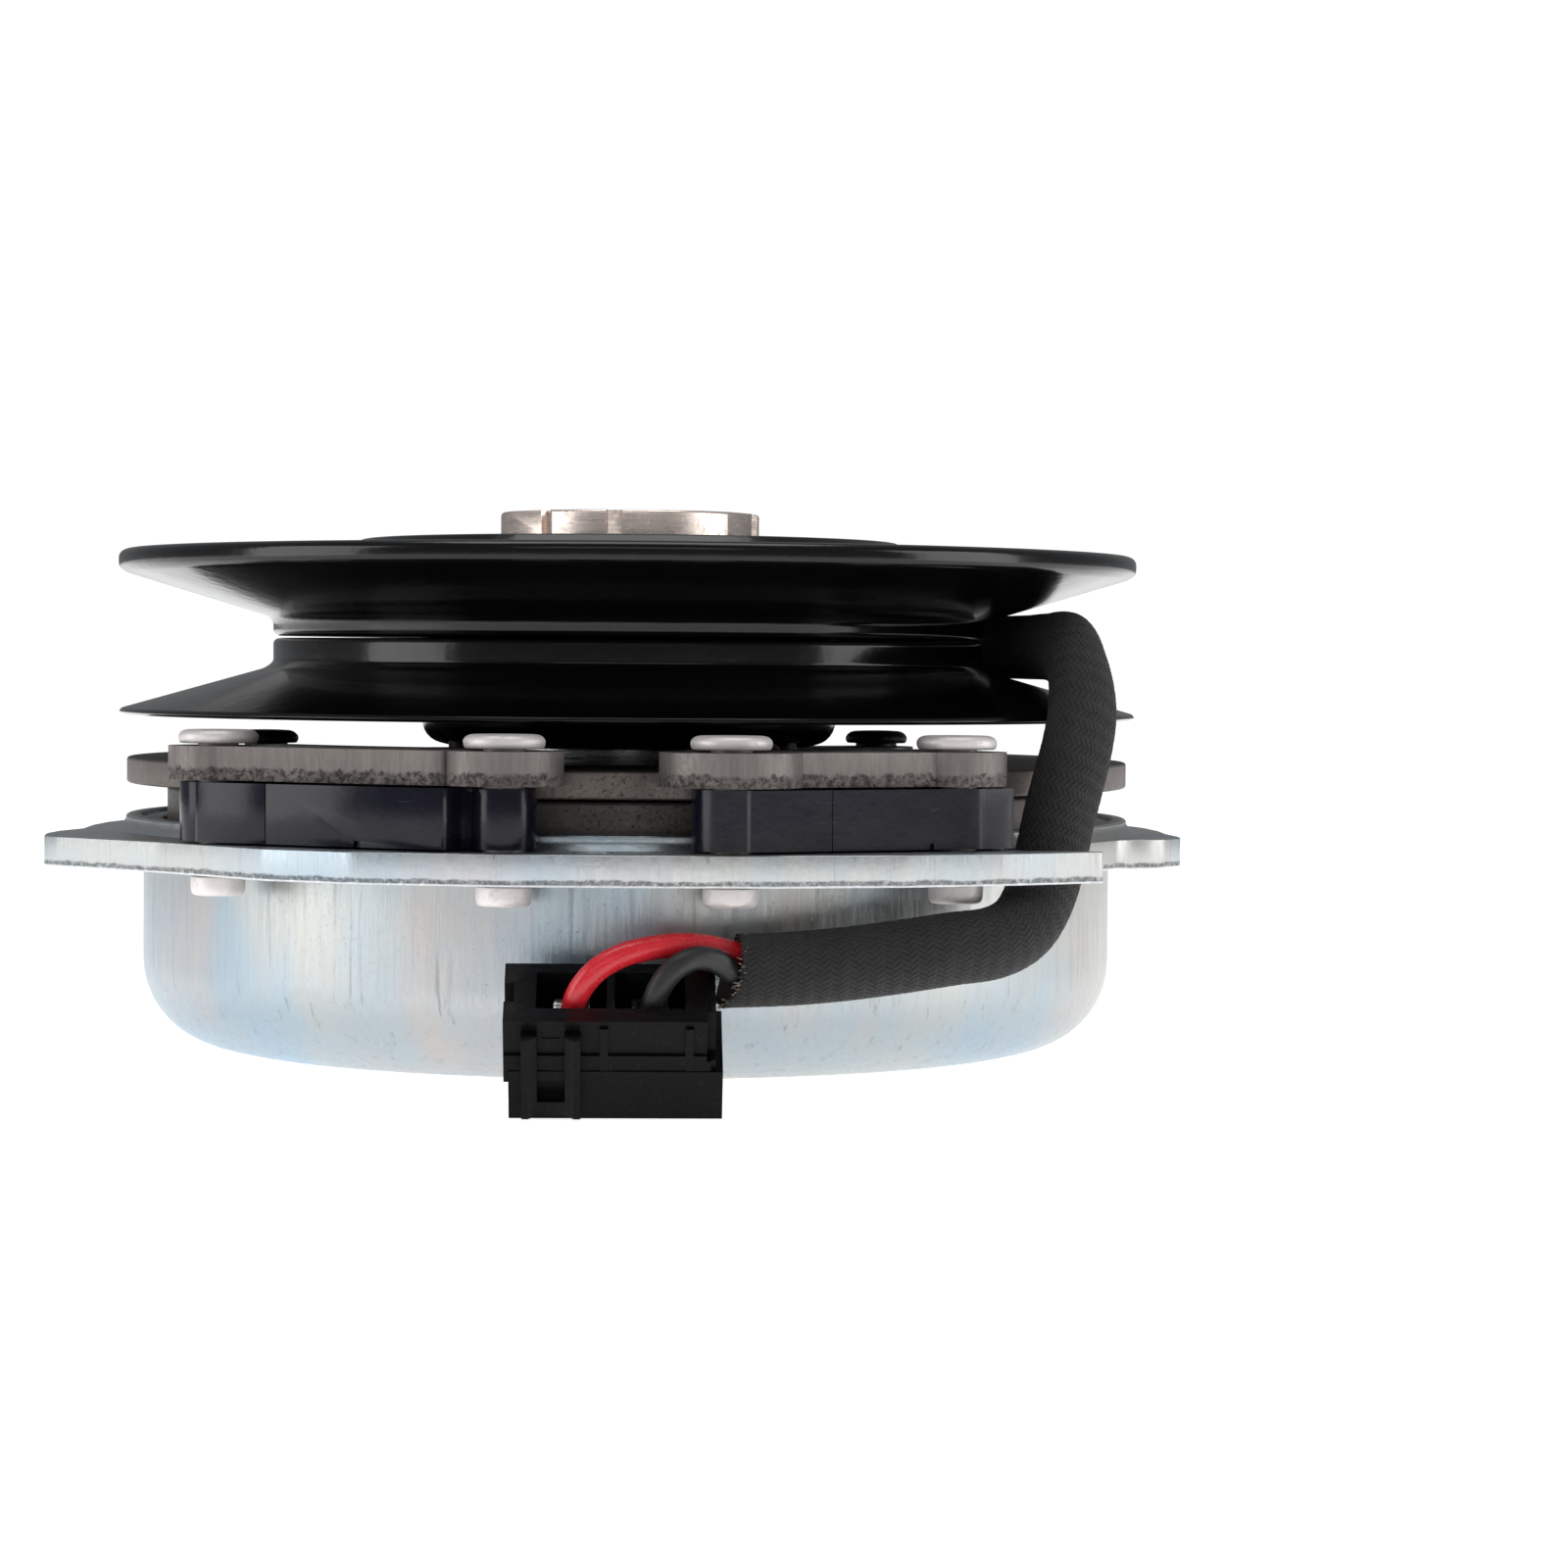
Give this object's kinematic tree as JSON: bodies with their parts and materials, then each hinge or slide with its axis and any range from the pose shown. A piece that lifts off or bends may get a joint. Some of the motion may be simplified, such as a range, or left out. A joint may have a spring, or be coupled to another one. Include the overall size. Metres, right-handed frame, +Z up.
{
  "type": "electromagnetic clutch",
  "caption": "Electromagnetic PTO clutch and brake with a V-belt pulley, keyed hub, drawn field cup, mounting plate and a connector lead.",
  "frame": {"origin": "on the shaft axis, at the level the field cup stands on", "axes": "+Z up along the shaft, towards the pulley end of the hub; -Y is the side with the brake and the connector"},
  "size_m": [0.1542, 0.1702, 0.0767],
  "materials": {
    "zinc": "zinc plated, bright with a faint blue passivation",
    "brown_steel": "plain oxidised steel, brown-grey",
    "black_gloss": "gloss black powder coat",
    "black_steel": "black oxide",
    "black_plastic": "glossy moulded plastic",
    "nylon": "satin black nylon",
    "rivet": "matte formed rivet",
    "bright_steel": "machined steel, warm",
    "bearing_steel": "ground",
    "seal": "moulded seal",
    "copper": "enamelled copper wire",
    "resin": "potting resin",
    "ferrite": "sintered magnet",
    "spring": "spring steel",
    "tin": "tin plated",
    "red": "wire insulation",
    "black_wire": "wire insulation",
    "braid": "braided sleeve",
    "rubber": "moulded"
  },
  "bodies": {
    "field": {"field_cup": "zinc", "inner_pole": "brown_steel", "coil_bobbin": "nylon", "coil_winding": "copper", "coil_potting": "resin", "field_bearing_outer_ring": "bearing_steel", "field_bearing_seal": "seal", "bearing_circlip": "spring", "mounting_plate": "zinc", "lead_grommet": "rubber", "lead_sleeve": "braid", "lead_wire_red": "red", "lead_wire_black": "black_wire", "connector_housing": "nylon", "terminal_1": "tin", "terminal_2": "tin", "brake_housing_left": "black_plastic", "brake_magnet_left": "ferrite", "brake_pole_left": "brown_steel", "brake_rivet_left_1": "rivet", "brake_rivet_left_2": "rivet", "brake_housing_right": "black_plastic", "brake_magnet_right": "ferrite", "brake_pole_right": "brown_steel", "brake_rivet_right_1": "rivet", "brake_rivet_right_2": "rivet"},
    "rotor": {"rotor_disc": "brown_steel", "rotor_hub": "bright_steel", "hub_spacer": "bearing_steel", "hub_snap_ring": "spring", "field_bearing_inner_ring": "bearing_steel", "pulley_bearing_inner_ring": "bearing_steel"},
    "pulley": {"pulley_half_upper": "black_gloss", "pulley_half_lower": "black_gloss", "pulley_bearing_housing": "black_gloss", "pulley_bearing_outer_ring": "bearing_steel", "pulley_bearing_seal": "seal", "leaf_spring_1": "spring", "leaf_spring_2": "spring", "leaf_spring_3": "spring", "spring_rivet_1": "black_steel", "spring_rivet_2": "black_steel", "spring_rivet_3": "black_steel"},
    "armature": {"armature_disc": "brown_steel", "armature_rivet_1": "black_steel", "armature_rivet_2": "black_steel", "armature_rivet_3": "black_steel"}
  },
  "joints": [
    {"name": "rotor_spin", "type": "hinge", "parent": "field", "child": "rotor", "pos_m": [0, 0, 0.04], "axis": [0, 0, 1], "continuous": true},
    {"name": "pulley_spin", "type": "hinge", "parent": "rotor", "child": "pulley", "pos_m": [0, 0, 0.06], "axis": [0, 0, 1], "continuous": true},
    {"name": "armature_travel", "type": "slide", "parent": "pulley", "child": "armature", "axis": [0, 0, -1], "range_m": [0, 0.0004], "stiffness_N_per_m": 40000, "springref_m": -0.001}
  ]
}
